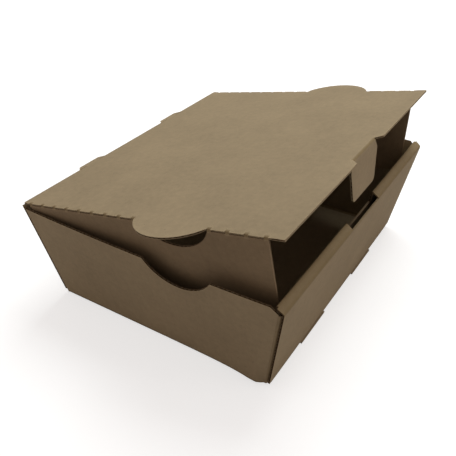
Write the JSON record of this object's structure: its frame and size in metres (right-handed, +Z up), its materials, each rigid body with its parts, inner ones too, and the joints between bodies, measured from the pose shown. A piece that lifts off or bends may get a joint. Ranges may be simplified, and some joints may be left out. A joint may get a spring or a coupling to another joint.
{
  "type": "tortilla box",
  "caption": "Flared take-away box folded from one corrugated kraft blank, with a hinged lid, thumb lobes, tuck-in side flaps and a centred lock tab.",
  "frame": {"origin": "centre of the floor's underside, on the ground", "axes": "+Z up, +X from the lid's hinge towards the opening wall, +Y along the hinge"},
  "size_m": [0.2102, 0.2794, 0.1266],
  "materials": {
    "kraft": "matt uncoated kraft"
  },
  "bodies": {
    "tray": {"floor": "kraft", "hinge_wall": "kraft", "opening_wall": "kraft", "inner_panel": "kraft", "near_side_wall": "kraft", "far_side_wall": "kraft", "near_rear_tab": "kraft", "far_rear_tab": "kraft", "near_front_tab": "kraft", "far_front_tab": "kraft", "near_top_strip": "kraft", "far_top_strip": "kraft", "near_tongue": "kraft", "far_tongue": "kraft"},
    "lid": {"lid": "kraft"},
    "near_side_flap": {"near_side_flap": "kraft"},
    "far_side_flap": {"far_side_flap": "kraft"},
    "lock_tab": {"lock_tab": "kraft"}
  },
  "joints": [
    {"name": "lid_hinge", "type": "hinge", "parent": "tray", "child": "lid", "pos_m": [-0.10322, 0, 0.08275], "axis": [0, -1, 0], "range_deg": [-12, 168]},
    {"name": "near_flap_fold", "type": "hinge", "parent": "lid", "child": "near_side_flap", "pos_m": [-0.00525, -0.1219, 0.10281], "axis": [0.9781, 0, 0.2079], "range_deg": [0, 75]},
    {"name": "far_flap_fold", "type": "hinge", "parent": "lid", "child": "far_side_flap", "pos_m": [-0.00525, 0.1219, 0.10281], "axis": [-0.9781, 0, -0.2079], "range_deg": [0, 75]},
    {"name": "lock_tab_fold", "type": "hinge", "parent": "lid", "child": "lock_tab", "pos_m": [0.09488, 0, 0.12486], "axis": [0, -1, 0], "range_deg": [0, 96]}
  ]
}
